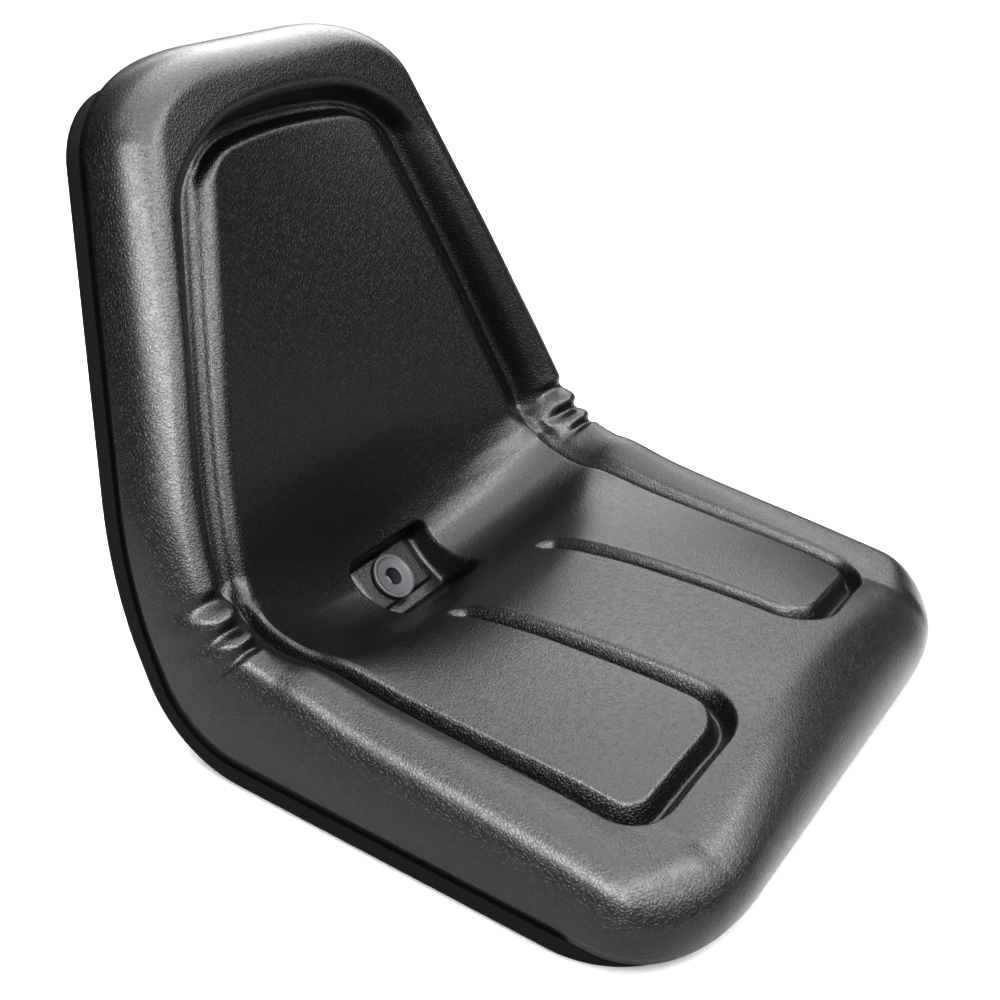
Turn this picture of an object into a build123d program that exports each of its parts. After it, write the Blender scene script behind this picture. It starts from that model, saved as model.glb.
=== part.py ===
from build123d import *
import math
import os

# Tractor seat: a pressed steel pan, a one-piece moulded cushion that fills it,
# a drain grommet through both, and four weld nuts on the pan's floor.
# Millimetres. +Z is up, the sitter faces -Y. The origin is the centre of the
# bolt pattern on the flat underside of the pan.

# Rim line in side view: a level run, a bend at the waist, a leaning run
RIM_HEIGHT = 16.0
FRONT_Y = -189.0
SEAT_RUN = 320.0
WAIST_RADIUS = 66.0
BACK_LEAN = 22.0
BACK_RUN = 377.0
FAN_BEFORE = 125.0
FAN_AFTER = 120.0
FAN_EASE = 0.7
STATION_GAP = 2.0

# Outline of the cushion seen square on
HALF_WIDTH = 228.0
SHOULDER_HEIGHT = 120.0
SHOULDER_RADIUS = 300.0
BACK_TAPER = 19.0
FRONT_CORNER_LENGTH = 60.0
FRONT_CORNER_WIDTH = 98.0
TOP_CORNER_LENGTH = 58.0
TOP_CORNER_WIDTH = 85.0
CORNER_POWER = 2.25

# Roll of the bolster over its outer edge
ROLL_POWER = 2.4
FRONT_ROLL_START = 0.12
TOP_ROLL = 32.0

# Grooves that bound the back panel and the two thigh pads
GROOVE_DEPTH = 10.0
SEAT_GROOVE_WIDTH = 12.0
BACK_GROOVE_WIDTH = 20.0
TOP_GROOVE_WIDTH = 12.0
GROOVE_LIP = 5.0
PANEL_TOP = 63.5
PANEL_TOP_ARCH = 12.0
PANEL_ARCH_SPAN = 100.0
PANEL_CORNER = 28.0
PAD_INNER_EDGE = 63.0
PAD_FRONT = 60.0
PAD_FRONT_SLANT = 0.07
PAD_INNER_CORNER = 26.0
PAD_OUTER_CORNER = 4.0
PAD_GROOVE_WIDTH = 10.0
PAD_GROOVE_REACH = 275.0
PAD_GROOVE_FADE = 14.0
SEAT_GROOVE_END = 33.0
BACK_GROOVE_START = 76.0
BACK_START = 57.0
GROOVE_FADE = 10.0

# Gathers pressed into the bolster at the waist
GATHER_COUNT = 3
GATHER_PITCH = 21.2
GATHER_CENTRE = 47.8
GATHER_DEPTH = 6.0

# Pressed steel pan
SHEET = 1.6
RIM_PROUD = 1.2
PAN_FRONT_INSET = 13.0
PAN_TOP_INSET = 17.0
PAN_FRONT_CORNER = 72.0
PAN_TOP_CORNER = 58.0
PAN_FLOOR_RADIUS = 7.0
FOAM_GAP = 0.4
LIP_GAP = 0.5

# Mounting holes and weld nuts, M8
BOLT_SPACING_X = 286.0
BOLT_SPACING_Y = 203.0
BOLT_HOLE_RADIUS = 4.5
NUT_BORE_RADIUS = 4.1
NUT_ACROSS_FLATS = 13.0
NUT_HEIGHT = 6.5
NUT_RELIEF_RADIUS = 9.0
NUT_RELIEF_HEIGHT = 18.0

# Drain grommet and the pocket that it sits in, open down to the pan
DRAIN_PLACE = 9.0
DRAIN_BORE_RADIUS = 7.0
DRAIN_BARREL_RADIUS = 9.5
DRAIN_FLANGE_RADIUS = 18.5
DRAIN_FLANGE_HEIGHT = 3.0
DRAIN_PROJECTION = 3.0
DRAIN_CLEARANCE = 0.3
POCKET_WIDTH = 96.0
POCKET_LENGTH = 60.0
POCKET_REAR = 26.0
BOSS_WIDTH = 74.0
BOSS_LENGTH = 44.5
BOSS_HEIGHT = 6.0

TURN = math.radians(90.0 - BACK_LEAN)
WAIST_MID = SEAT_RUN + WAIST_RADIUS * TURN / 2
WAIST_END = SEAT_RUN + WAIST_RADIUS * TURN
TOP = WAIST_END + BACK_RUN
WAIST_Y = FRONT_Y + SEAT_RUN
TAPER = math.tan(math.radians(BACK_TAPER))
FAN_START = WAIST_MID - FAN_BEFORE
FAN_END = WAIST_MID + FAN_AFTER

# Heights above the rim line and places across the seat, at stations along the rim line
CREST_HEIGHT = (
    (0.0, 42.0), (110.0, 55.0), (WAIST_MID - 125, 68.0), (WAIST_MID - 50, 80.5), (WAIST_MID - 20, 83.5),
    (WAIST_MID + 20, 78.0), (WAIST_MID + 40, 69.0), (WAIST_MID + 60, 61.5), (WAIST_MID + 85, 54.0),
    (WAIST_MID + 150, 51.0), (WAIST_MID + 240, 53.0), (TOP, 53.0),
)
PAD_EDGE_HEIGHT = (
    (0.0, 48.0), (60.0, 47.5), (110.0, 52.5), (WAIST_MID - 125, 60.0), (WAIST_MID - 50, 68.0),
    (WAIST_MID - 25, 69.0), (WAIST_MID, 66.0), (WAIST_MID + 40, 49.5), (WAIST_MID + 60, 39.0),
    (WAIST_MID + 80, 34.5), (WAIST_MID + 125, 34.5), (WAIST_MID + 240, 40.0), (TOP, 49.5),
)
MIDDLE_HEIGHT = (
    (0.0, 64.0), (60.0, 68.0), (110.0, 69.0), (WAIST_MID - 180, 67.0), (WAIST_MID - 125, 60.5),
    (WAIST_MID - 75, 45.0), (WAIST_MID - 25, 17.5), (WAIST_MID, 7.0), (WAIST_MID + 20, 2.0),
    (WAIST_MID + 40, 1.5), (WAIST_MID + 80, 7.5), (WAIST_MID + 125, 16.5), (WAIST_MID + 200, 26.5),
    (WAIST_MID + 280, 32.5), (TOP, 41.5),
)
PAD_EDGE_PLACE = (
    (0.0, 160.0), (98.0, 165.0), (WAIST_MID - 50, 167.0), (WAIST_MID + 30, 171.0), (WAIST_MID + 60, 169.0),
    (WAIST_MID + 100, 163.0), (WAIST_MID + 150, 151.0), (TOP, 62.0),
)
GROOVE_WIDTH = (
    (0.0, SEAT_GROOVE_WIDTH), (WAIST_MID + 57, SEAT_GROOVE_WIDTH),
    (WAIST_MID + 110, BACK_GROOVE_WIDTH), (TOP, BACK_GROOVE_WIDTH),
)
CREST_INSET = (
    (0.0, 30.0), (WAIST_MID - 55, 28.0), (WAIST_MID + 5, 22.0), (WAIST_MID + 130, 24.0), (TOP, 28.0),
)


def smooth(t):
    """Ease from 0 to 1 as t goes from 0 to 1."""
    t = min(1.0, max(0.0, t))
    return t * t * (3 - 2 * t)


def along(stations, p):
    """Monotone cubic through the stations, read at distance p along the rim line."""
    if p <= stations[0][0]:
        return stations[0][1]
    if p >= stations[-1][0]:
        return stations[-1][1]
    rise = [(b[1] - a[1]) / (b[0] - a[0]) for a, b in zip(stations, stations[1:])]
    middle = [2 * a * b / (a + b) if a * b > 0 else 0.0 for a, b in zip(rise, rise[1:])]
    slope = [rise[0], *middle, rise[-1]]
    i = max(k for k in range(len(rise)) if stations[k][0] < p)
    (p0, v0), (p1, v1) = stations[i], stations[i + 1]
    step = p1 - p0
    t = (p - p0) / step
    keep = (1 + 2 * t) * (1 - t) ** 2 * v0 + t * t * (3 - 2 * t) * v1
    return keep + step * (t * (1 - t) ** 2 * slope[i] + t * t * (t - 1) * slope[i + 1])


def rim_point(p):
    """Place (y, z) and slope angle of the rim line at distance p from its front end."""
    if p <= SEAT_RUN:
        return FRONT_Y + p, RIM_HEIGHT, 0.0
    angle = min(TURN, (p - SEAT_RUN) / WAIST_RADIUS)
    beyond = max(0.0, p - WAIST_END)
    y = WAIST_Y + WAIST_RADIUS * math.sin(angle) + beyond * math.cos(TURN)
    z = RIM_HEIGHT + WAIST_RADIUS * (1 - math.cos(angle)) + beyond * math.sin(TURN)
    return y, z, angle


def section_angle(p):
    """Tilt of the cushion's section, which turns more slowly than the rim line."""
    t = min(1.0, max(0.0, (p - FAN_START) / (FAN_END - FAN_START)))
    return TURN * (FAN_EASE * smooth(t) + (1 - FAN_EASE) * t)


def rim_half_width(z):
    """Half width of the outline at height z: upright, an arc at the shoulder, a taper."""
    bend = math.radians(BACK_TAPER)
    start = SHOULDER_HEIGHT - SHOULDER_RADIUS * math.tan(bend / 2)
    end = start + SHOULDER_RADIUS * math.sin(bend)
    if z <= start:
        return HALF_WIDTH
    if z <= end:
        return HALF_WIDTH - SHOULDER_RADIUS + math.sqrt(SHOULDER_RADIUS**2 - (z - start) ** 2)
    return HALF_WIDTH - (z - SHOULDER_HEIGHT) * TAPER


def end_corner(p):
    """Distance to the nearer end, and that end's corner length, width and roll start."""
    if p < TOP / 2:
        return p, FRONT_CORNER_LENGTH, FRONT_CORNER_WIDTH, FRONT_ROLL_START
    return TOP - p, TOP_CORNER_LENGTH, TOP_CORNER_WIDTH, 1 - TOP_ROLL / TOP_CORNER_LENGTH


def outline_half_width(p):
    """Half width at distance p, with the corners of both ends rounded."""
    distance, length, width, _ = end_corner(p)
    full = rim_half_width(rim_point(p)[1])
    b = max(0.0, 1 - distance / length)
    return full - width + width * (1 - b**CORNER_POWER) ** (1 / CORNER_POWER)


def edge_roll(p, x):
    """Share of the height that is left at (p, x), 1 inside and 0 on the outline."""
    distance, length, width, end_start = end_corner(p)
    full = rim_half_width(rim_point(p)[1])
    a = max(0.0, 1 - (full - x) / width)
    b = max(0.0, 1 - distance / length)
    q = (a**CORNER_POWER + b**CORNER_POWER) ** (1 / CORNER_POWER)
    if q == 0:
        return 1.0
    share = b * b / (a * a + b * b)
    start = (1 - along(CREST_INSET, p) / width) * (1 - share) + end_start * share
    t = min(1.0, max(0.0, (q - start) / (1 - start)))
    return (1 - t**ROLL_POWER) ** (1 / ROLL_POWER)


def outside(d1, d2, radius):
    """Distance outside a corner of two straight edges that is rounded to a radius."""
    a, b = d1 + radius, d2 + radius
    return math.hypot(max(a, 0.0), max(b, 0.0)) - radius + min(max(a, b), 0.0)


def groove(s, width):
    """Groove section: 0 at the pad's edge, 1 on the floor, back to 0 at the far lip."""
    if s < width - GROOVE_LIP:
        return smooth(s / (width - GROOVE_LIP))
    return 1 - smooth((s - width) / GROOVE_LIP)


def top_height(p, x):
    """Height of the cushion's face above the rim line at (p, x), for x of 0 or more."""
    edge = along(PAD_EDGE_PLACE, p)
    pad = along(PAD_EDGE_HEIGHT, p)
    middle = along(MIDDLE_HEIGHT, p)
    crest = along(CREST_HEIGHT, p)
    base = middle + (pad - middle) * min(1.0, x / edge) ** 2
    crest_place = rim_half_width(rim_point(p)[1]) - along(CREST_INSET, p)
    width = along(GROOVE_WIDTH, p)
    span = crest_place - edge - width
    beside = x - edge
    back = p > WAIST_MID + BACK_START
    if back:
        panel_end = TOP - PANEL_TOP - PANEL_TOP_ARCH * (x / PANEL_ARCH_SPAN) ** 2
        above = (p - panel_end) * BACK_GROOVE_WIDTH / TOP_GROOVE_WIDTH
        beside = outside(beside * math.cos(math.radians(BACK_TAPER)), above, PANEL_CORNER)
    bolster = math.sin(math.pi / 2 * min(1.0, max(0.0, (beside - width) / span)))
    height = base + (crest - base) * bolster
    roll = edge_roll(p, x)
    if back:
        cut = groove(beside, width) * smooth((p - WAIST_MID - BACK_GROOVE_START) / GROOVE_FADE)
    else:
        front = PAD_FRONT - p + PAD_FRONT_SLANT * (x - PAD_INNER_EDGE)
        if x > (PAD_INNER_EDGE + edge) / 2:
            cut = groove(outside(beside, front, PAD_OUTER_CORNER), width)
            cut *= 1 - smooth((p - WAIST_MID - SEAT_GROOVE_END) / GROOVE_FADE)
        else:
            cut = groove(outside(PAD_INNER_EDGE - x, front, PAD_INNER_CORNER), PAD_GROOVE_WIDTH)
            cut *= 1 - smooth((p - PAD_GROOVE_REACH) / PAD_GROOVE_FADE)
    return height * roll - GROOVE_DEPTH * cut * roll


def gather(p):
    """Depth of the gathers along the bolster, 1 in each notch and 0 on the puffs."""
    offset = (p - WAIST_MID - GATHER_CENTRE) / GATHER_PITCH
    nearest = round(offset)
    if abs(nearest) > (GATHER_COUNT - 1) / 2:
        nearest = math.copysign((GATHER_COUNT - 1) / 2, offset)
    return max(0.0, 1 - 2 * abs(offset - nearest)) ** 2


def face_point(p, x):
    """Point of the cushion's face: its place across, and its section swung to its tilt."""
    side = math.copysign(1.0, x)
    across = abs(x)
    height = max(LIP_GAP, top_height(p, across))
    crest = along(CREST_HEIGHT, p)
    width = along(GROOVE_WIDTH, p)
    start = along(PAD_EDGE_PLACE, p) + width / 2
    core = rim_half_width(rim_point(p)[1]) - along(CREST_INSET, p)
    pinch = GATHER_DEPTH * gather(p) * smooth((across - start) / width) * smooth(height / crest)
    reach = math.hypot(across - core, height - crest / 2)
    across -= pinch * max(0.0, across - core) / reach
    height -= pinch * (height - crest / 2) / reach
    y, z, _ = rim_point(p)
    tilt = section_angle(p)
    return Vector(side * across, y - height * math.sin(tilt), z + height * math.cos(tilt))


def lower_point(p, x, height):
    """Point at a height square to the rim line, used under the cushion."""
    y, z, angle = rim_point(p)
    return Vector(x, y - height * math.sin(angle), z + height * math.cos(angle))


def height_over_rim(point):
    """Height of a point square to the rim line."""
    out = point.Y - WAIST_Y
    up = point.Z - RIM_HEIGHT - WAIST_RADIUS
    angle = math.atan2(out, -up)
    if out <= 0:
        return point.Z - RIM_HEIGHT
    if 0 <= angle <= TURN:
        return WAIST_RADIUS - math.hypot(out, up)
    return WAIST_RADIUS - out * math.sin(TURN) + up * math.cos(TURN)


def lateral_places(p):
    """Places across half a section: the panel out to the crease, and the bolster."""
    full = rim_half_width(rim_point(p)[1])
    edge = along(PAD_EDGE_PLACE, p)
    crest = full - along(CREST_INSET, p)
    width = along(GROOVE_WIDTH, p)
    crease = edge + width
    squeeze = min(1.0, edge / PAD_EDGE_PLACE[0][1])
    inner = [PAD_INNER_EDGE - PAD_GROOVE_WIDTH * k for k in (2.6, 1.7, 1.25, 0.85, 0.45, -0.1)]
    pad = [PAD_INNER_EDGE + (PAD_EDGE_PLACE[0][1] - PAD_INNER_EDGE) * k for k in (0.2, 0.5, 0.8)]
    floor = [edge + width * k for k in (0.2, 0.6)]
    panel = [0.0, *(k * squeeze for k in inner + pad), edge - 2, *floor, crease]
    slope = [crease + (crest - crease) * k for k in (0.2, 0.45, 0.7, 1.0)]
    roll = [crest + (full - crest) * math.sin(math.radians(k)) for k in (18, 36, 54, 70, 82, 90)]
    scale = outline_half_width(p) / full
    return [x * scale for x in panel], [x * scale for x in [crease, *slope, *roll]]


def spline(points, spans):
    """Spline through the points, at parameters shared by the same edge of every section."""
    return Edge.make_spline(points, parameters=spans)


def spaced(places):
    """Parameters from 0 to 1 that follow the spacing of the given places."""
    total = [0.0]
    for a, b in zip(places, places[1:]):
        total.append(total[-1] + abs(b - a) + 3.0)
    return [t / total[-1] for t in total]


def cushion_section(p, panel_spans, bolster_spans):
    """Closed section of the cushion above its lip: panel, two bolsters and a flat base."""
    panel, bolster = lateral_places(p)
    left = [face_point(p, -x) for x in reversed(bolster)]
    right = [face_point(p, x) for x in bolster]
    middle = [face_point(p, x) for x in [-x for x in reversed(panel[1:])] + panel]
    left[0] = lower_point(p, -bolster[-1], LIP_GAP)
    right[-1] = lower_point(p, bolster[-1], LIP_GAP)
    middle[0], middle[-1] = left[-1], right[0]
    backwards = [1 - t for t in reversed(bolster_spans)]
    return Wire([
        spline(left, backwards),
        spline(middle, panel_spans),
        spline(right, bolster_spans),
        Edge.make_line(right[-1], left[0]),
    ])


def stations():
    """Distances along the rim line at which sections stand, close where the form turns."""
    front = [0.8, 3, 7, 13, 20, 28]
    pads = [PAD_FRONT + k for k in (-25, -20, -16, -12.5, -9, -5, -1, 4, 18)]
    seat = [PAD_FRONT + (PAD_GROOVE_REACH - PAD_FRONT) * k for k in (0.2, 0.35, 0.5, 0.65, 0.8, 0.9)]
    reach = [PAD_GROOVE_REACH + PAD_GROOVE_FADE * k for k in (-0.5, 0.1, 0.6, 1.1, 2.2, 3.6, 5.0)]
    first = WAIST_MID + GATHER_CENTRE - GATHER_PITCH * GATHER_COUNT / 2
    waist = [first + GATHER_PITCH * k / 4 for k in range(4 * GATHER_COUNT + 1)]
    back = [WAIST_MID + BACK_GROOVE_START + k for k in (14, 30, 55, 90, 130, 170, 205)]
    top = [TOP - PANEL_TOP + k for k in (-21, -11, -6, -1.5, 3, 7.5, 12, 17, 23)]
    end = [TOP - k for k in (34, 27, 20, 14, 8, 3.5, 0.8)]
    places = sorted(front + pads + seat + reach + waist + back + top + end)
    return [p for p, after in zip(places, places[1:]) if after - p > STATION_GAP] + places[-1:]


def moulded_top():
    """Upper part of the cushion, lofted through its sections."""
    panel, bolster = lateral_places(SEAT_RUN / 2)
    panel_spans = spaced([-x for x in reversed(panel[1:])] + panel)
    bolster_spans = spaced(bolster)
    sections = [cushion_section(p, panel_spans, bolster_spans) for p in stations()]
    return Solid.make_loft(sections, ruled=True)


def band(low, high):
    """Slab that follows the rim line between two heights, full width."""
    def corner(p, height):
        point = lower_point(p, 0.0, height)
        return point.Y, point.Z

    with BuildPart() as slab:
        with BuildSketch(Plane.YZ):
            with BuildLine():
                Polyline(corner(SEAT_RUN, low), corner(0, low), corner(0, high), corner(SEAT_RUN, high))
                ThreePointArc(corner(SEAT_RUN, high), corner(WAIST_MID, high), corner(WAIST_END, high))
                Polyline(corner(WAIST_END, high), corner(TOP, high), corner(TOP, low), corner(WAIST_END, low))
                ThreePointArc(corner(WAIST_END, low), corner(WAIST_MID, low), corner(SEAT_RUN, low))
            make_face()
        extrude(amount=HALF_WIDTH + RIM_PROUD, both=True)
    return slab.part


def tray(low, high, inset):
    """Slab trimmed to the pan's outline, seen from the front and from above, less an inset."""
    side = RIM_PROUD - inset
    top_y, top_z, _ = rim_point(TOP - PAN_TOP_INSET)
    top_z -= inset
    front = FRONT_Y + PAN_FRONT_INSET + inset
    top_half = rim_half_width(top_z) + side
    low_z = -RIM_HEIGHT
    half = HALF_WIDTH + side
    with BuildPart() as upright:
        with BuildSketch(Plane.XZ):
            with BuildLine():
                FilletPolyline(
                    (0, low_z), (half, low_z), (half, SHOULDER_HEIGHT), (top_half, top_z), (0, top_z),
                    radius=[0.01, SHOULDER_RADIUS, PAN_TOP_CORNER - inset],
                )
                Line((0, top_z), (0, low_z))
            make_face()
            mirror(about=Plane.YZ)
        extrude(amount=-2 * TOP, both=True)
    with BuildPart() as plan:
        with BuildSketch(Plane.XY.offset(low_z)):
            with BuildLine():
                FilletPolyline(
                    (0, TOP), (half, TOP), (half, front), (0, front),
                    radius=[0.01, PAN_FRONT_CORNER - inset],
                )
                Line((0, front), (0, TOP))
            make_face()
            mirror(about=Plane.YZ)
        extrude(amount=2 * TOP)
    body = band(low, high) & upright.part & plan.part
    seams = [lower_point(p, 0, low) for p in (SEAT_RUN, WAIST_END)]
    middles = [(edge, edge.position_at(0.5)) for edge in body.edges()]
    floor = [edge for edge, at in middles if abs(height_over_rim(at) - low) < SHEET / 10]
    floor = [edge for edge in floor if min((edge.position_at(0.5) - seam).length for seam in seams) > SHEET]
    return body.fillet(PAN_FLOOR_RADIUS - inset, floor)


def bolt_places():
    """Centres of the four mounting holes."""
    return [(x * BOLT_SPACING_X / 2, y * BOLT_SPACING_Y / 2) for x in (-1, 1) for y in (-1, 1)]


def drain_plane():
    """Plane on the pan's floor in the bend of the waist, facing forward and up."""
    y, z, angle = rim_point(WAIST_MID + DRAIN_PLACE)
    drop = RIM_HEIGHT - SHEET
    origin = (0, y + drop * math.sin(angle), z - drop * math.cos(angle))
    return Plane(origin=origin, x_dir=(1, 0, 0), z_dir=(0, -math.sin(angle), math.cos(angle)))


def rod(radius, low, high, plane=Plane.XY, place=(0, 0)):
    """Cylinder on a plane between two heights."""
    spot = plane * Pos(place[0], place[1], (low + high) / 2)
    return spot * Cylinder(radius, high - low)


def seat_pan():
    """Pressed tray with a turned-up rim, four bolt holes and the drain hole."""
    pan = tray(-RIM_HEIGHT, 0.0, 0.0) - tray(SHEET - RIM_HEIGHT, RIM_HEIGHT, SHEET)
    for place in bolt_places():
        pan -= rod(BOLT_HOLE_RADIUS, -SHEET, 2 * SHEET, place=place)
    return pan - rod(DRAIN_BARREL_RADIUS + DRAIN_CLEARANCE, -RIM_HEIGHT, RIM_HEIGHT, drain_plane())


def drain_pocket():
    """Space of the drain pocket: an opening through the foam, with a low boss left at its rear edge."""
    depth = HALF_WIDTH
    box = Pos(0, POCKET_REAR - POCKET_LENGTH / 2, 0) * Box(POCKET_WIDTH, POCKET_LENGTH, depth)
    middle = BOSS_HEIGHT - depth / 2
    boss = Pos(0, POCKET_REAR - BOSS_LENGTH / 2, middle) * Box(BOSS_WIDTH, BOSS_LENGTH, depth)
    return drain_plane() * (box - boss)


def moulded_cushion():
    """One moulding: the lofted top and the plug that fills the pan."""
    plug = tray(SHEET + FOAM_GAP - RIM_HEIGHT, RIM_HEIGHT / 2, SHEET + FOAM_GAP)
    body = moulded_top() + plug
    body -= drain_pocket()
    body -= rod(DRAIN_BARREL_RADIUS + DRAIN_CLEARANCE, -RIM_HEIGHT, RIM_HEIGHT, drain_plane())
    for place in bolt_places():
        body -= rod(NUT_RELIEF_RADIUS, 0, SHEET + NUT_RELIEF_HEIGHT, place=place)
    return body


def drain_grommet():
    """Moulded eyelet: a flange on the boss and a barrel down through the pan."""
    plane = drain_plane()
    seat = BOSS_HEIGHT + DRAIN_CLEARANCE
    end = -SHEET - DRAIN_PROJECTION
    body = rod(DRAIN_FLANGE_RADIUS, seat, seat + DRAIN_FLANGE_HEIGHT, plane)
    body += rod(DRAIN_BARREL_RADIUS, end, seat + DRAIN_FLANGE_HEIGHT, plane)
    return body - rod(DRAIN_BORE_RADIUS, 2 * end, RIM_HEIGHT * 2, plane)


def weld_nuts():
    """Four hexagon nuts standing on the pan's floor over the bolt holes."""
    nuts = []
    for x, y in bolt_places():
        with BuildPart() as nut:
            with BuildSketch(Plane.XY.offset(SHEET)):
                with Locations((x, y)):
                    RegularPolygon(NUT_ACROSS_FLATS / 2, 6, major_radius=False)
                    Circle(NUT_BORE_RADIUS, mode=Mode.SUBTRACT)
            extrude(amount=NUT_HEIGHT)
        nuts.append(nut.part)
    return Compound(children=nuts)


if __name__ == "__main__":
    os.makedirs("parts", exist_ok=True)
    for make in (seat_pan, moulded_cushion, drain_grommet, weld_nuts):
        export_step(make(), f"parts/{make.__name__}.step")
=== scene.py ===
import math

import bpy
import numpy as np
from mathutils import Matrix, Vector


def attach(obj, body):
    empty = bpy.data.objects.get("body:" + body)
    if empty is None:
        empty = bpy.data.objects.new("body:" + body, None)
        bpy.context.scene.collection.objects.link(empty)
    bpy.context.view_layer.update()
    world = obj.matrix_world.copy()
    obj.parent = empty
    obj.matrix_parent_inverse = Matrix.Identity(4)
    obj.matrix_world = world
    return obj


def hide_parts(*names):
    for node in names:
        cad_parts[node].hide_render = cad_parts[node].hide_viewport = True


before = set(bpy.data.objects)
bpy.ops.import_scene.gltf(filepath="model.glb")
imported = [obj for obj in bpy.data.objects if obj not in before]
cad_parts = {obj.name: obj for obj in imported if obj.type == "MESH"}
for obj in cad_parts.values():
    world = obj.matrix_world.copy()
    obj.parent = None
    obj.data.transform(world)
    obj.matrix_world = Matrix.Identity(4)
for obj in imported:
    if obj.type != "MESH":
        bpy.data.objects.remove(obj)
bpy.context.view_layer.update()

MM = 0.001

# Rim line in side view, mm: a level run, a bend at the waist, a leaning run
RIM_HEIGHT = 16.0
FRONT_Y = -189.0
SEAT_RUN = 320.0
WAIST_RADIUS = 66.0
BACK_LEAN = 22.0
BACK_RUN = 377.0
TURN = math.radians(90.0 - BACK_LEAN)
WAIST_MID = SEAT_RUN + WAIST_RADIUS * TURN / 2
WAIST_END = SEAT_RUN + WAIST_RADIUS * TURN
TOP = WAIST_END + BACK_RUN
FAN_START = WAIST_MID - 125.0
FAN_END = WAIST_MID + 120.0
FAN_EASE = 0.7

# Outline of the cushion and the roll over its edge, mm
HALF_WIDTH = 228.0
SHOULDER_HEIGHT = 120.0
SHOULDER_RADIUS = 300.0
BACK_TAPER = math.radians(19.0)
FRONT_CORNER = (60.0, 98.0)
TOP_CORNER = (58.0, 85.0)
CORNER_POWER = 2.25
ROLL_POWER = 2.4
FRONT_ROLL_START = 0.12
TOP_ROLL = 32.0
FRONT_BULGE = 5.0
BULGE_FADE = 14.0
BULGE_HEIGHT = 60.0
LIP_GAP = 0.5

# Grooves round the back panel and the thigh pads, mm
GROOVE_DEPTH = 13.5
SEAT_GROOVE_WIDTH = 12.0
BACK_GROOVE_WIDTH = 20.0
TOP_GROOVE_WIDTH = 12.0
PAD_ROLL = 4.0
SEAT_FLOOR = 5.0
SEAT_LIP = 15.0
BACK_FLOOR = 12.0
PANEL_TOP = 63.5
PANEL_TOP_ARCH = 12.0
PANEL_ARCH_SPAN = 100.0
PANEL_CORNER = 28.0
PAD_INNER_EDGE = 63.0
PAD_FRONT = 60.0
PAD_FRONT_SLANT = 0.07
PAD_INNER_CORNER = 26.0
PAD_OUTER_CORNER = 16.0
PAD_GROOVE_REACH = 264.0
SEAT_GROOVE_END = 33.0
BACK_GROOVE_START = 84.0
GROOVE_BLEND = 60.0
END_STRETCH = 2.2
WAIST_STRETCH = 4.0

# Gathers across the bolster at the waist, mm. Start, cap and fades are shares
# of the groove's width, the pinch and the pitch.
GATHER_COUNT = 3
GATHER_PITCH = 30.0
GATHER_CENTRE = 50.0
GATHER_DEPTH = 4.6
GATHER_PUFF = 2.8
GATHER_RISE = 18.0
GATHER_FALL = 22.0
GATHER_START = 0.8
GATHER_CAP = 0.75
NOTCH_FADE = (0.1, 0.5)
PUFF_FADE = (-0.5, 0.0)

# Drain pocket and eyelet on a plane that lies on the pan's floor in the bend of the waist, mm
SHEET = 1.6
DRAIN_PLACE = 9.0
POCKET_HALF_WIDTH = 48.0
POCKET_FRONT = -34.0
POCKET_REAR = 26.0
POCKET_FLOOR = 0.8
POCKET_CORNER = 11.0
POCKET_WALL = 6.0
BOSS_HALF_WIDTH = 37.0
BOSS_FRONT = -18.5
BOSS_TOP = 6.0
BOSS_CORNER = 2.0
BOSS_WALL = 2.0
WELL_RADIUS = 9.8
WELL_SIDES = 64
WELL_PAST = 2.0
EYELET_RADIUS = 18.5
EYELET_HEIGHT = 3.3
EYELET_BORE = 7.0
EYELET_WALL = 9.5
EYELET_GAP = 0.3
EYELET_PAST = 3.0
EYELET_ROUND = 0.7
EYELET_SIDES = 96
EYELET_RIM = (2.6, 3.8)
EYELET_RIM_RISE = 0.9

# Pan outline that the plug of the cushion stays inside, mm
PAN_FRONT_INSET = 13.0
PAN_TOP_INSET = 17.0
PAN_FRONT_CORNER = 72.0
PAN_TOP_CORNER = 58.0
PLUG_GAP = 2.4
PLUG_LIFT = 0.5

# Heights above the rim line and places across, at distances along the rim line
CREST_HEIGHT = (
    (0.0, 42.0), (110.0, 55.0), (WAIST_MID - 125, 68.0), (WAIST_MID - 50, 80.5), (WAIST_MID - 20, 83.5),
    (WAIST_MID + 20, 78.0), (WAIST_MID + 40, 69.0), (WAIST_MID + 60, 61.5), (WAIST_MID + 85, 54.0),
    (WAIST_MID + 150, 51.0), (WAIST_MID + 240, 53.0), (TOP, 53.0),
)
PAD_EDGE_HEIGHT = (
    (0.0, 48.0), (60.0, 47.5), (110.0, 52.5), (WAIST_MID - 125, 60.0), (WAIST_MID - 50, 68.0),
    (WAIST_MID - 25, 69.0), (WAIST_MID, 66.0), (WAIST_MID + 40, 49.5), (WAIST_MID + 60, 39.0),
    (WAIST_MID + 80, 34.5), (WAIST_MID + 125, 34.5), (WAIST_MID + 240, 40.0), (TOP, 49.5),
)
MIDDLE_HEIGHT = (
    (0.0, 64.0), (60.0, 68.0), (110.0, 69.0), (WAIST_MID - 180, 67.0), (WAIST_MID - 125, 60.5),
    (WAIST_MID - 75, 45.0), (WAIST_MID - 25, 17.5), (WAIST_MID, 7.0), (WAIST_MID + 20, 2.0),
    (WAIST_MID + 40, 1.5), (WAIST_MID + 80, 7.5), (WAIST_MID + 125, 16.5), (WAIST_MID + 200, 26.5),
    (WAIST_MID + 280, 32.5), (TOP, 41.5),
)
PAD_EDGE_PLACE = (
    (0.0, 160.0), (98.0, 165.0), (WAIST_MID - 50, 167.0), (WAIST_MID + 30, 171.0), (WAIST_MID + 60, 169.0),
    (WAIST_MID + 100, 163.0), (WAIST_MID + 150, 151.0), (TOP, 62.0),
)
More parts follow.
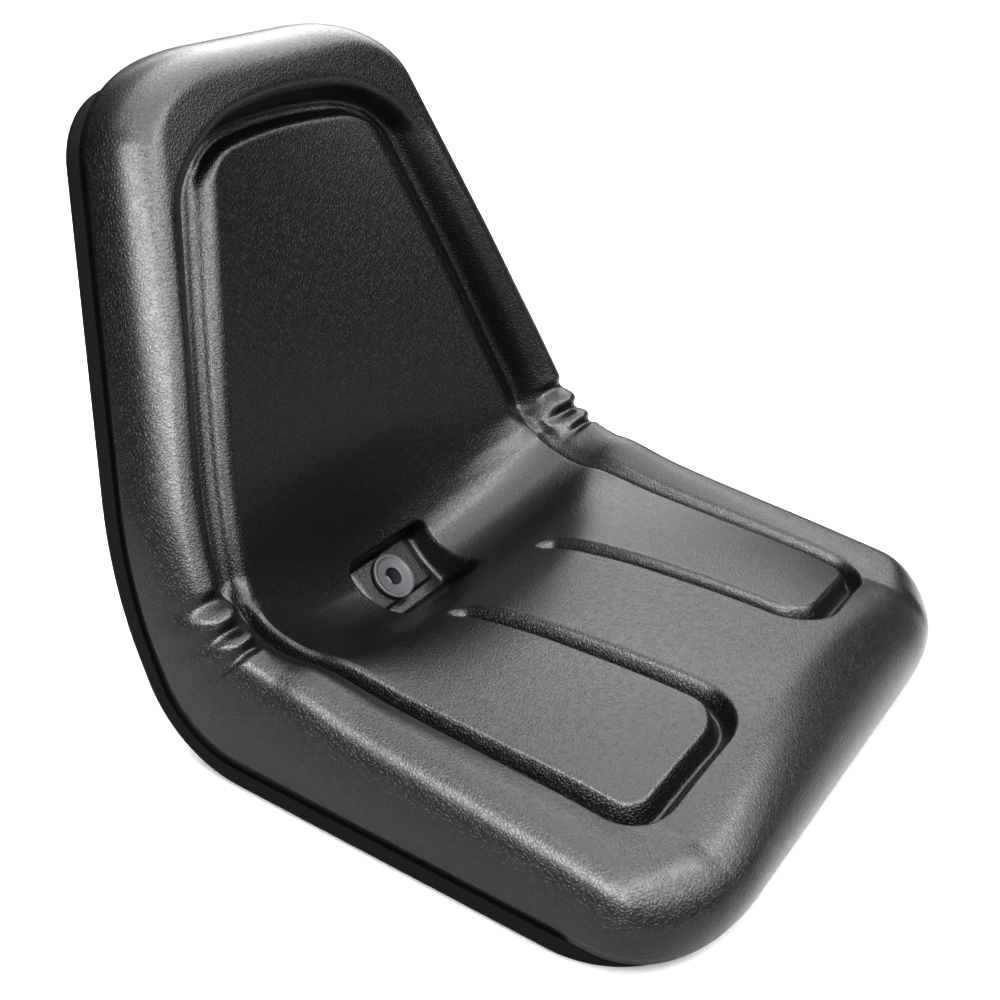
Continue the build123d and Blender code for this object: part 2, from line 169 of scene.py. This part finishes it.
GROOVE_WIDTH = (
    (0.0, SEAT_GROOVE_WIDTH), (WAIST_MID + 57, SEAT_GROOVE_WIDTH),
    (WAIST_MID + 110, BACK_GROOVE_WIDTH), (TOP, BACK_GROOVE_WIDTH),
)
BACK_GROOVE = (
    (-13.0, 0.0), (-12.0, 0.0), (-7.0, 0.08), (-2.0, 0.36), (2.5, 0.76), (5.5, 0.87), (9.0, 0.89),
    (13.0, 0.97), (15.5, 1.0), (18.0, 0.86), (22.0, 0.3), (26.0, 0.0), (27.0, 0.0),
)
CREST_INSET = (
    (0.0, 30.0), (WAIST_MID - 55, 28.0), (WAIST_MID + 5, 22.0), (WAIST_MID + 130, 24.0), (TOP, 28.0),
)

# Grid of the cushion's face: rows as (start, end, count) between the two ends' fine runs, columns per band
FRONT_FINE = (34.0, 24)
TOP_FINE = (43.0, 26)
ROW_RUNS = (
    (FRONT_FINE[0], 90.0, 46), (90.0, 250.0, 34), (250.0, 300.0, 24), (300.0, 336.0, 12),
    (336.0, 460.0, 104), (460.0, TOP - 115.0, 40), (TOP - 115.0, TOP - TOP_FINE[0], 54),
)
INNER_BAND = (-24.0, 9.0)
OUTER_BAND = (-16.0, 27.0)
CREST_MARGIN = 2.0
BAND_COLUMNS = (12, 28, 24, 34, 9)
ROLL_COLUMNS = 20

# Camera fitted to the photograph, m and degrees; light of the surroundings and contrast of the view
CAMERA_PLACE = (-0.720, -0.3726, 0.6001)
CAMERA_AZIMUTH = -57.56
CAMERA_ELEVATION = 29.0
CAMERA_ROLL = 2.48
SENSOR = 36.0
LENS = SENSOR * 1.383
FLOOR_REACH = 8000.0
SURROUND_LIGHT = 0.25
VIEW_GAMMA = 0.5


def smooth(t):
    """Ease from 0 to 1: three t squared less two t cubed, held flat outside."""
    t = np.clip(t, 0.0, 1.0)
    return t * t * (3 - 2 * t)


def along(stations, p):
    """Monotone cubic through the stations: inner slopes are harmonic means of the rises beside them."""
    place, value = np.array(stations).T
    rise = np.diff(value) / np.diff(place)
    both = rise[:-1] * rise[1:]
    total = np.where(both > 0, rise[:-1] + rise[1:], 1.0)
    middle = np.where(both > 0, 2 * both / total, 0.0)
    slope = np.concatenate((rise[:1], middle, rise[-1:]))
    p = np.clip(p, place[0], place[-1])
    i = np.clip(np.searchsorted(place, p) - 1, 0, len(rise) - 1)
    step = place[i + 1] - place[i]
    t = (p - place[i]) / step
    keep = (1 + 2 * t) * (1 - t) ** 2 * value[i] + t * t * (3 - 2 * t) * value[i + 1]
    return keep + step * (t * (1 - t) ** 2 * slope[i] + t * t * (t - 1) * slope[i + 1])


def rim_line(p):
    """(y, z, angle) of the rim line: level, then an arc through TURN, then straight up the lean."""
    angle = np.clip((p - SEAT_RUN) / WAIST_RADIUS, 0.0, TURN)
    level = np.minimum(p, SEAT_RUN)
    beyond = np.maximum(0.0, p - WAIST_END)
    y = FRONT_Y + level + WAIST_RADIUS * np.sin(angle) + beyond * math.cos(TURN)
    z = RIM_HEIGHT + WAIST_RADIUS * (1 - np.cos(angle)) + beyond * math.sin(TURN)
    return y, z, angle


def section_tilt(p):
    """Tilt of a cushion section: TURN times a blend of an even and an eased turn between the fan's ends."""
    t = np.clip((p - FAN_START) / (FAN_END - FAN_START), 0.0, 1.0)
    return TURN * (FAN_EASE * smooth(t) + (1 - FAN_EASE) * t)


def rim_half_width(z):
    """Half width of the outline at height z: upright, an arc at the shoulder, then a straight taper."""
    start = SHOULDER_HEIGHT - SHOULDER_RADIUS * math.tan(BACK_TAPER / 2)
    end = start + SHOULDER_RADIUS * math.sin(BACK_TAPER)
    lift = np.clip(z, start, end) - start
    arc = HALF_WIDTH - SHOULDER_RADIUS + np.sqrt(SHOULDER_RADIUS**2 - lift**2)
    return np.where(z <= end, arc, HALF_WIDTH - (z - SHOULDER_HEIGHT) * math.tan(BACK_TAPER))


def end_corner(p):
    """Distance to the nearer end, with that end's corner length, corner width and roll start."""
    front = p < TOP / 2
    length = np.where(front, FRONT_CORNER[0], TOP_CORNER[0])
    width = np.where(front, FRONT_CORNER[1], TOP_CORNER[1])
    start = np.where(front, FRONT_ROLL_START, 1 - TOP_ROLL / TOP_CORNER[0])
    return np.where(front, p, TOP - p), length, width, start


def outline_half_width(p):
    """Half width with both ends' corners rounded as a superellipse."""
    distance, length, width, _ = end_corner(p)
    b = np.clip(1 - distance / length, 0.0, 1.0)
    return rim_half_width(rim_line(p)[1]) - width * (1 - (1 - b**CORNER_POWER) ** (1 / CORNER_POWER))


def edge_roll(p, x):
    """Share of the height left: a superellipse of the corner distance, 1 inside and 0 on the outline."""
    distance, length, width, end_start = end_corner(p)
    a = np.maximum(0.0, 1 - (rim_half_width(rim_line(p)[1]) - x) / width)
    b = np.maximum(0.0, 1 - distance / length) + 0 * x
    q = (a**CORNER_POWER + b**CORNER_POWER) ** (1 / CORNER_POWER)
    share = b * b / np.maximum(a * a + b * b, 1e-9)
    start = (1 - along(CREST_INSET, p) / width) * (1 - share) + end_start * share
    t = np.clip((q - start) / (1 - start), 0.0, 1.0)
    return (1 - t**ROLL_POWER) ** (1 / ROLL_POWER)


def outside(d1, d2, radius):
    """Distance outside a corner of two straight edges that is rounded to a radius."""
    a, b = d1 + radius, d2 + radius
    return np.hypot(np.maximum(a, 0.0), np.maximum(b, 0.0)) - radius + np.minimum(np.maximum(a, b), 0.0)


def seat_groove(s):
    """Share of the groove's depth: eased down over the pad's rolled edge, then eased up to the far lip."""
    fall = smooth((s + PAD_ROLL) / (SEAT_FLOOR + PAD_ROLL))
    return np.where(s < SEAT_FLOOR, fall, 1 - smooth((s - SEAT_FLOOR) / (SEAT_LIP - SEAT_FLOOR)))


def ended(s, floor, past, stretch):
    """Distance across a groove with a rounded end: past it, the straight distance from its floor line."""
    return floor + np.where(s < floor, -1.0, 1.0) * np.hypot(s - floor, np.maximum(past, 0.0) / stretch)


def face_height(p, x):
    """Height of the face: pads crowned by a square, bolsters risen by a quarter sine, less the grooves."""
    edge = along(PAD_EDGE_PLACE, p)
    pad = along(PAD_EDGE_HEIGHT, p)
    middle = along(MIDDLE_HEIGHT, p)
    crest = along(CREST_HEIGHT, p)
    base = middle + (pad - middle) * np.minimum(1.0, x / edge) ** 2
    width = along(GROOVE_WIDTH, p)
    span = rim_half_width(rim_line(p)[1]) - along(CREST_INSET, p) - edge - width
    beside = x - edge
    panel_end = TOP - PANEL_TOP - PANEL_TOP_ARCH * (x / PANEL_ARCH_SPAN) ** 2
    above = (p - panel_end) * BACK_GROOVE_WIDTH / TOP_GROOVE_WIDTH
    panel = outside(beside * math.cos(BACK_TAPER), above, PANEL_CORNER)
    past = beside + (panel - beside) * smooth((p - WAIST_MID - SEAT_GROOVE_END) / GROOVE_BLEND)
    bolster = np.sin(np.pi / 2 * np.clip((past - width) / span, 0.0, 1.0))
    height = base + (crest - base) * bolster
    back_cut = along(BACK_GROOVE, ended(panel, BACK_FLOOR, WAIST_MID + BACK_GROOVE_START - p, END_STRETCH))
    front = PAD_FRONT - p + PAD_FRONT_SLANT * (x - PAD_INNER_EDGE)
    outer_side = outside(beside, front, PAD_OUTER_CORNER)
    outer_cut = seat_groove(ended(outer_side, SEAT_FLOOR, p - WAIST_MID - SEAT_GROOVE_END, WAIST_STRETCH))
    inner_side = outside(PAD_INNER_EDGE - x, front, PAD_INNER_CORNER)
    inner_cut = seat_groove(ended(inner_side, SEAT_FLOOR, p - PAD_GROOVE_REACH, END_STRETCH))
    seat_cut = np.where(x > (PAD_INNER_EDGE + edge) / 2, outer_cut, inner_cut)
    return (height - GROOVE_DEPTH * (seat_cut + back_cut)) * edge_roll(p, x)


def gather(p):
    """Pinch at the waist: a squared raised cosine in each notch, less a puff between, faded at the ends."""
    offset = (p - WAIST_MID - GATHER_CENTRE) / GATHER_PITCH
    wave = np.cos(2 * np.pi * offset) / 2 + 0.5
    reach = np.abs(offset) - (GATHER_COUNT - 1) / 2
    notch_fade, puff_fade = (1 - smooth((reach - a) / (b - a)) for a, b in (NOTCH_FADE, PUFF_FADE))
    return GATHER_DEPTH * wave**2 * notch_fade - GATHER_PUFF * (1 - wave) * puff_fade


def drain_axes():
    """Origin, axis up the back and axis out of the face, of the plane on the pan's floor at the drain."""
    y, z, angle = (float(v) for v in rim_line(np.array(WAIST_MID + DRAIN_PLACE)))
    drop = RIM_HEIGHT - SHEET
    out = (-math.sin(angle), math.cos(angle))
    return (y - drop * out[0], z - drop * out[1]), (math.cos(angle), math.sin(angle)), out


def pocket(x, y, z):
    """Press the drain pocket into face points: inside its outline they ease to the pan's arc or the boss."""
    (oy, oz), rise, out = drain_axes()
    v = (y - oy) * rise[0] + (z - oz) * rise[1]
    h = (y - oy) * out[0] + (z - oz) * out[1]
    middle = (POCKET_FRONT + POCKET_REAR) / 2
    half = (POCKET_REAR - POCKET_FRONT) / 2
    inside = -outside(np.abs(x) - POCKET_HALF_WIDTH, np.abs(v - middle) - half, POCKET_CORNER)
    boss = -outside(np.abs(x) - BOSS_HALF_WIDTH, BOSS_FRONT - v, BOSS_CORNER)
    floor = POCKET_FLOOR + v**2 / (2 * (WAIST_RADIUS + RIM_HEIGHT))
    floor = np.maximum(floor, floor + (BOSS_TOP - floor) * smooth(boss / BOSS_WALL))
    cut = smooth(inside / POCKET_WALL)
    near = np.abs(v - middle) < 2 * half
    shift = np.where(near, np.minimum(0.0, (floor - h) * cut), 0.0)
    return y + shift * out[0], z + shift * out[1]


def face_points(p, x):
    """Face of the cushion: rim line plus height along the tilted section, pinched to the core by gathers."""
    side, across = np.sign(x), np.abs(x)
    height = np.maximum(LIP_GAP, face_height(p, across))
    crest = along(CREST_HEIGHT, p)
    core = rim_half_width(rim_line(p)[1]) - along(CREST_INSET, p)
    width = along(GROOVE_WIDTH, p)
    start = along(PAD_EDGE_PLACE, p) + width * GATHER_START
    cap = 1 - GATHER_CAP * smooth((across - core) / GATHER_FALL)
    pinch = gather(p) * smooth((across - start) / GATHER_RISE) * smooth(height / crest) * cap
    reach = np.maximum(np.hypot(across - core, height - crest / 2), 1e-6)
    across = across - pinch * np.maximum(0.0, across - core) / reach
    height = height - pinch * (height - crest / 2) / reach
    y, z, _ = rim_line(p)
    tilt = section_tilt(p)
    y = y - height * np.sin(tilt)
    z = z + height * np.cos(tilt)
    bulge = FRONT_BULGE * np.exp(-p / BULGE_FADE) * np.sin(np.pi * np.clip(height / BULGE_HEIGHT, 0.0, 1.0))
    y, z = pocket(side * across, y - bulge, z)
    return np.stack((side * across, y, z), -1)


def row_places():
    """Distances along the rim line for the grid's rows: even runs, and squared steps towards both ends."""
    front = FRONT_FINE[0] * np.linspace(0.0, 1.0, FRONT_FINE[1], endpoint=False) ** 2
    middle = [np.linspace(a, b, n, endpoint=False) for a, b, n in ROW_RUNS]
    top = TOP - TOP_FINE[0] * np.linspace(1.0, 0.0, TOP_FINE[1]) ** 2
    return np.concatenate([front, *middle, top])


def column_places(p):
    """Places across for the grid's columns: ridge, inner groove, pad, outer groove, bolster and roll."""
    full = rim_half_width(rim_line(p)[1])
    edge = along(PAD_EDGE_PLACE, p)
    crest = full - along(CREST_INSET, p)
    inner = PAD_INNER_EDGE * np.minimum(1.0, edge / PAD_EDGE_PLACE[0][1])
    outer = np.minimum(edge + OUTER_BAND[1], crest - CREST_MARGIN)
    stops = (0 * p, inner + INNER_BAND[0], inner + INNER_BAND[1], edge + OUTER_BAND[0], outer, crest)
    part = [
        a + (b - a) * k
        for a, b, n in zip(stops, stops[1:], BAND_COLUMNS)
        for k in np.linspace(0, 1, n, endpoint=False)
    ]
    part += [crest + (full - crest) * math.sin(math.radians(k)) for k in np.linspace(0, 90, ROLL_COLUMNS)]
    half = np.stack(part, 1) * (outline_half_width(p) / full)[:, None]
    return np.concatenate((-half[:, :0:-1], half), 1)


def grid_faces(rows, columns, start=0):
    """Quads of a grid of points numbered row by row."""
    i = np.arange(rows - 1)[:, None] * columns + np.arange(columns - 1)[None, :] + start
    return np.stack((i, i + 1, i + columns + 1, i + columns), -1).reshape(-1, 4)


def mesh_piece(name, points, faces, material):
    """Mesh object at the origin from points in millimetres and lists of faces."""
    mesh = bpy.data.meshes.new(name)
    mesh.from_pydata((points * MM).tolist(), [], faces)
    mesh.validate()
    mesh.shade_smooth()
    mesh.materials.append(material)
    piece = bpy.data.objects.new(name, mesh)
    bpy.context.scene.collection.objects.link(piece)
    return piece


def plug_half_width(p):
    """Half width of the plug: the pan's outline less a gap, with circular arcs at its corners."""
    y, z, _ = rim_line(p)
    half = rim_half_width(z) - PLUG_GAP
    top = rim_line(np.array(TOP - PAN_TOP_INSET))[1] - PLUG_GAP
    front = np.clip(PAN_FRONT_CORNER - (y - FRONT_Y - PAN_FRONT_INSET - PLUG_GAP), 0.0, PAN_FRONT_CORNER)
    upper = np.clip(PAN_TOP_CORNER - (top - z), 0.0, PAN_TOP_CORNER)
    half = half - PAN_FRONT_CORNER + np.sqrt(PAN_FRONT_CORNER**2 - front**2)
    return half - PAN_TOP_CORNER + np.sqrt(PAN_TOP_CORNER**2 - upper**2)


def cushion_piece(material):
    """Closed cushion: the face grid, a flat lip under its edge, and a plug along the rim line in the pan."""
    p = row_places()
    x = column_places(p)
    face = face_points(p[:, None], x)
    rows, columns = x.shape
    start = PAN_FRONT_INSET + PLUG_GAP
    q = start + (TOP - PAN_TOP_INSET - PLUG_GAP - start) * p / TOP
    y, z, angle = (v[:, None] for v in rim_line(q))
    deep = SHEET + PLUG_LIFT - RIM_HEIGHT
    share = np.array([1.0, 1.0, 0.5, 0.0, -0.5, -1.0, -1.0])[None, :]
    low = np.array([LIP_GAP, deep, deep, deep, deep, deep, LIP_GAP])[None, :]
    across = plug_half_width(q)[:, None] * share
    base = np.stack((across, y - low * np.sin(angle), z + low * np.cos(angle)), -1)
    steps = share.shape[1]
    under = rows * columns
    points = np.concatenate((face.reshape(-1, 3), base.reshape(-1, 3)))
    faces = grid_faces(rows, columns).tolist() + grid_faces(rows, steps, under).tolist()
    left = np.arange(rows) * columns
    right = left + columns - 1
    first = under + np.arange(rows) * steps
    last = first + steps - 1
    faces += np.stack((right[:-1], first[:-1], first[1:], right[1:]), 1).tolist()
    faces += np.stack((last[:-1], left[:-1], left[1:], last[1:]), 1).tolist()
    front, end = list(range(columns)), list(range(under - columns, under))
    plug_front = list(range(under, under + steps))
    plug_end = list(range(int(first[-1]), int(last[-1]) + 1))
    faces += [front[::-1] + [plug_front[-1], plug_front[0]], plug_front[::-1]]
    faces += [end + [plug_end[0], plug_end[-1]], plug_end]
    return mesh_piece("moulded_cushion_skin", points, faces, material)


def turned(profile, count):
    """Profile of (radius, height) points carried round the drain's axis, a row for each angle."""
    (oy, oz), rise, out = drain_axes()
    radius, height = np.array(profile).T
    a = np.linspace(0, 2 * np.pi, count, endpoint=False)[:, None]
    x = radius * np.cos(a)
    v = radius * np.sin(a)
    h = height + 0 * a
    y = oy + v * rise[0] + h * out[0]
    z = oz + v * rise[1] + h * out[1]
    return np.stack((x + 0 * h, y, z), -1)


def rounded(points, radius, steps=5):
    """Profile with each inner corner replaced by a quadratic curve between points at the radius."""
    points = [np.array(q, float) for q in points]
    out = [points[0]]
    t = np.linspace(0, 1, steps)[:, None]
    for a, b, c in zip(points, points[1:], points[2:]):
        start = b + (a - b) * min(0.49, radius / np.linalg.norm(a - b))
        end = b + (c - b) * min(0.49, radius / np.linalg.norm(c - b))
        out += list((1 - t) ** 2 * start + 2 * t * (1 - t) * b + t * t * end)
    return out + [points[-1]]


def ring_faces(rows, columns):
    """Quads of a turned grid whose last row joins its first."""
    i = np.arange(rows)[:, None] * columns + np.arange(columns - 1)[None, :]
    j = (np.arange(rows)[:, None] + 1) % rows * columns + np.arange(columns - 1)[None, :]
    return np.stack((i, j, j + 1, i + 1), -1).reshape(-1, 4).tolist()


def eyelet_piece(material):
    """Drain eyelet: a flange with a raised rim and a barrel through the pan, turned about the axis."""
    base, top = BOSS_TOP + EYELET_GAP, BOSS_TOP + EYELET_HEIGHT
    flange = top - EYELET_RIM_RISE
    foot = -SHEET - EYELET_PAST
    rim_top, rim_foot = (EYELET_RADIUS - inset for inset in EYELET_RIM)
    profile = rounded([
        (EYELET_BORE, foot), (EYELET_BORE, flange), (rim_foot, flange), (rim_top, top),
        (EYELET_RADIUS, top), (EYELET_RADIUS, base), (EYELET_WALL, base), (EYELET_WALL, foot),
        (EYELET_BORE, foot),
    ], EYELET_ROUND)
    points = turned(profile, EYELET_SIDES)
    rows, columns, _ = points.shape
    return mesh_piece("drain_eyelet", points.reshape(-1, 3), ring_faces(rows, columns), material)


def cut_well(cushion):
    """Cut the round well for the eyelet's barrel through the cushion, about the drain's axis."""
    foot, head = SHEET - RIM_HEIGHT, BOSS_TOP + WELL_PAST
    points = turned([(WELL_RADIUS, foot), (WELL_RADIUS, head)], WELL_SIDES).reshape(-1, 3)
    caps = [list(range(2 * WELL_SIDES - 2, -1, -2)), list(range(1, 2 * WELL_SIDES, 2))]
    cutter = mesh_piece("well", points, ring_faces(WELL_SIDES, 2) + caps, cushion.data.materials[0])
    cut = cushion.modifiers.new("well", "BOOLEAN")
    cut.object, cut.solver = cutter, "EXACT"
    shape = bpy.data.meshes.new_from_object(cushion.evaluated_get(bpy.context.evaluated_depsgraph_get()))
    cushion.modifiers.clear()
    cushion.data = shape
    bpy.data.objects.remove(cutter)


def linear(hex_colour):
    """Linear colour with alpha from an sRGB hex value."""
    channels = [int(hex_colour[i:i + 2], 16) / 255 for i in (1, 3, 5)]
    return [c / 12.92 if c <= 0.04045 else ((c + 0.055) / 1.055) ** 2.4 for c in channels] + [1.0]


def node(tree, kind, settings=None, **links):
    """Add a node: settings are attributes or socket values, links are sockets fed by other outputs."""
    new = tree.nodes.new(kind)
    for key, value in (settings or {}).items():
        if isinstance(key, int) or key in new.inputs:
            new.inputs[key].default_value = value
        else:
            setattr(new, key, value)
    for key, source in links.items():
        tree.links.new(source, new.inputs[key.replace("_", " ")])
    return new


def repeats(size):
    """Whole repeats of a pattern in a metre, from the size of one in mm."""
    return round(1 / (size * MM))


def finish_of(name):
    """New material with its node tree and its shader."""
    material = bpy.data.materials.new(name)
    material.use_nodes = True
    tree = material.node_tree
    return material, tree, tree.nodes["Principled BSDF"]


def black_vinyl():
    """Moulded vinyl skin: near-black, satin, with a leather grain pressed by the mould.

    Real grain is about 1 mm wide. It is drawn at 2.5 mm so that it shows in the render.
    """
    material, tree, shader = finish_of("moulded_black_vinyl_leather_grain")
    place = node(tree, "ShaderNodeTexCoord").outputs["Object"]
    warp = node(tree, "ShaderNodeTexNoise", {"Scale": repeats(6.25), "Detail": 3.0}, Vector=place)
    shifted = node(tree, "ShaderNodeVectorMath", {"operation": "MULTIPLY_ADD", 1: (4 * MM, 4 * MM, 4 * MM)})
    tree.links.new(warp.outputs["Color"], shifted.inputs[0])
    tree.links.new(place, shifted.inputs[2])
    cells = {"feature": "DISTANCE_TO_EDGE", "Scale": repeats(2.5)}
    wrinkles = node(tree, "ShaderNodeTexVoronoi", cells, Vector=shifted.outputs[0])
    pebbles = node(tree, "ShaderNodeTexNoise", {"Scale": repeats(1.111), "Detail": 4.0}, Vector=place)
    ridge = node(tree, "ShaderNodeMath", {"operation": "MINIMUM", 1: 0.35})
    tree.links.new(wrinkles.outputs["Distance"], ridge.inputs[0])
    height = node(tree, "ShaderNodeMath", {"operation": "MULTIPLY_ADD", 1: 0.35})
    tree.links.new(pebbles.outputs["Fac"], height.inputs[0])
    tree.links.new(ridge.outputs[0], height.inputs[2])
    bump = node(tree, "ShaderNodeBump", {"Strength": 0.8, "Distance": 1 * MM}, Height=height.outputs[0])
    tree.links.new(bump.outputs[0], shader.inputs["Normal"])
    cloud = node(tree, "ShaderNodeTexNoise", {"Scale": repeats(71.4), "Detail": 3.0}, Vector=place)
    rough = node(tree, "ShaderNodeMapRange", {"To Min": 0.31, "To Max": 0.40}, Value=cloud.outputs["Fac"])
    tree.links.new(rough.outputs[0], shader.inputs["Roughness"])
    shader.inputs["Base Color"].default_value = linear("#0a0a0b")
    shader.inputs["IOR"].default_value = 1.55
    shader.inputs["Coat Weight"].default_value = 1.0
    shader.inputs["Coat Roughness"].default_value = 0.32
    return material


def powder_coat():
    """Powder-coated steel: black, semi-matt, with the fine orange-peel texture of a textured powder."""
    material, tree, shader = finish_of("black_powder_coated_steel")
    place = node(tree, "ShaderNodeTexCoord").outputs["Object"]
    grit = node(tree, "ShaderNodeTexNoise", {"Scale": repeats(1.111), "Detail": 3.0}, Vector=place)
    bump = node(tree, "ShaderNodeBump", {"Strength": 0.6, "Distance": 0.5 * MM}, Height=grit.outputs["Fac"])
    tree.links.new(bump.outputs[0], shader.inputs["Normal"])
    spread = {"From Min": 0.35, "From Max": 0.65, "To Min": 0.55, "To Max": 0.75}
    speck = node(tree, "ShaderNodeMapRange", spread, Value=grit.outputs["Fac"])
    tree.links.new(speck.outputs[0], shader.inputs["Roughness"])
    shader.inputs["Base Color"].default_value = linear("#18181a")
    shader.inputs["Specular IOR Level"].default_value = 0.4
    return material


def grey_polymer():
    """Moulded polyethylene eyelet: dark grey, smooth, with a slight mould bloom."""
    material, tree, shader = finish_of("moulded_dark_grey_polyethylene")
    place = node(tree, "ShaderNodeTexCoord").outputs["Object"]
    bloom = node(tree, "ShaderNodeTexNoise", {"Scale": repeats(3.85), "Detail": 4.0}, Vector=place)
    rough = node(tree, "ShaderNodeMapRange", {"To Min": 0.28, "To Max": 0.4}, Value=bloom.outputs["Fac"])
    tree.links.new(rough.outputs[0], shader.inputs["Roughness"])
    shader.inputs["Base Color"].default_value = linear("#525254")
    return material


def zinc_plate():
    """Zinc-plated steel nuts: pale, slightly bluish metal with a fine crystalline mottle."""
    material, tree, shader = finish_of("zinc_plated_steel")
    place = node(tree, "ShaderNodeTexCoord").outputs["Object"]
    mottle = node(tree, "ShaderNodeTexNoise", {"Scale": repeats(1.428), "Detail": 4.0}, Vector=place)
    rough = node(tree, "ShaderNodeMapRange", {"To Min": 0.28, "To Max": 0.45}, Value=mottle.outputs["Fac"])
    tree.links.new(rough.outputs[0], shader.inputs["Roughness"])
    shader.inputs["Base Color"].default_value = linear("#b9bcc0")
    shader.inputs["Metallic"].default_value = 1.0
    return material


def pale_floor():
    """Matt pale grey paper floor with a trace of mottle. The exposure shows it white."""
    material, tree, shader = finish_of("matt_pale_grey_studio_paper")
    place = node(tree, "ShaderNodeTexCoord").outputs["Object"]
    mottle = node(tree, "ShaderNodeTexNoise", {"Scale": repeats(333.0), "Detail": 2.0}, Vector=place)
    rough = node(tree, "ShaderNodeMapRange", {"To Min": 0.85, "To Max": 0.95}, Value=mottle.outputs["Fac"])
    tree.links.new(rough.outputs[0], shader.inputs["Roughness"])
    shader.inputs["Base Color"].default_value = linear("#b0b0b0")
    return material


def soft_light(name, place, target, size, power):
    """Rectangular soft light at a place, turned to its target."""
    data = bpy.data.lights.new(name, "AREA")
    data.shape = "RECTANGLE"
    data.size, data.size_y = size
    data.energy = power
    lamp = bpy.data.objects.new(name, data)
    lamp.location = place
    lamp.rotation_euler = (Vector(target) - Vector(place)).to_track_quat("-Z", "Y").to_euler()
    bpy.context.scene.collection.objects.link(lamp)


def studio():
    """Pale floor, even surroundings, soft lights and the camera at the photograph's angle."""
    corner = np.array([(-1, -1, 0), (1, -1, 0), (1, 1, 0), (-1, 1, 0)]) * FLOOR_REACH
    mesh_piece("floor", corner, [(0, 1, 2, 3)], pale_floor())
    world = bpy.data.worlds.new("studio")
    bpy.context.scene.world = world
    world.use_nodes = True
    world.node_tree.nodes["Background"].inputs["Color"].default_value = (1, 1, 1, 1)
    world.node_tree.nodes["Background"].inputs["Strength"].default_value = SURROUND_LIGHT
    soft_light("ceiling", (0.2, 0.1, 1.7), (0.2, 0.1, 0.0), (3.2, 3.4), 150)
    soft_light("far_ceiling", (3.3, 2.2, 1.6), (3.3, 2.2, 0.0), (3.6, 5.2), 185)
    soft_light("left_bank", (-1.45, -0.1, 1.0), (-0.1, 0.1, 0.15), (2.2, 0.7), 66)
    soft_light("front_bank", (0.0, -1.45, 1.3), (0.0, 0.0, 0.15), (2.6, 1.3), 66)
    bpy.context.scene.view_settings.view_transform = "Standard"
    bpy.context.scene.view_settings.gamma = VIEW_GAMMA
    camera = bpy.data.cameras.new("camera")
    camera.sensor_width = SENSOR
    camera.lens = LENS
    camera.clip_start, camera.clip_end = 0.01, 100.0
    azimuth, elevation, roll = (math.radians(a) for a in (CAMERA_AZIMUTH, CAMERA_ELEVATION, CAMERA_ROLL))
    away = math.cos(elevation)
    back = Vector((math.sin(azimuth) * away, -math.cos(azimuth) * away, math.sin(elevation)))
    level = Vector((math.cos(azimuth), math.sin(azimuth), 0))
    right = math.cos(roll) * level + math.sin(roll) * back.cross(level)
    view = bpy.data.objects.new("camera", camera)
    turn = Matrix((right, back.cross(right), back)).transposed().to_4x4()
    view.matrix_world = Matrix.Translation(CAMERA_PLACE) @ turn
    bpy.context.scene.collection.objects.link(view)
    bpy.context.scene.camera = view


def dress(name, material):
    """Give a CAD node its finish."""
    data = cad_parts[name].data
    data.materials.clear()
    data.materials.append(material)


cushion = cushion_piece(black_vinyl())
cut_well(cushion)
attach(cushion, "root")
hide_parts("moulded_cushion")

eyelet = eyelet_piece(grey_polymer())
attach(eyelet, "root")
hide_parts("drain_grommet")

dress("seat_pan", powder_coat())
dress("weld_nuts", zinc_plate())
studio()
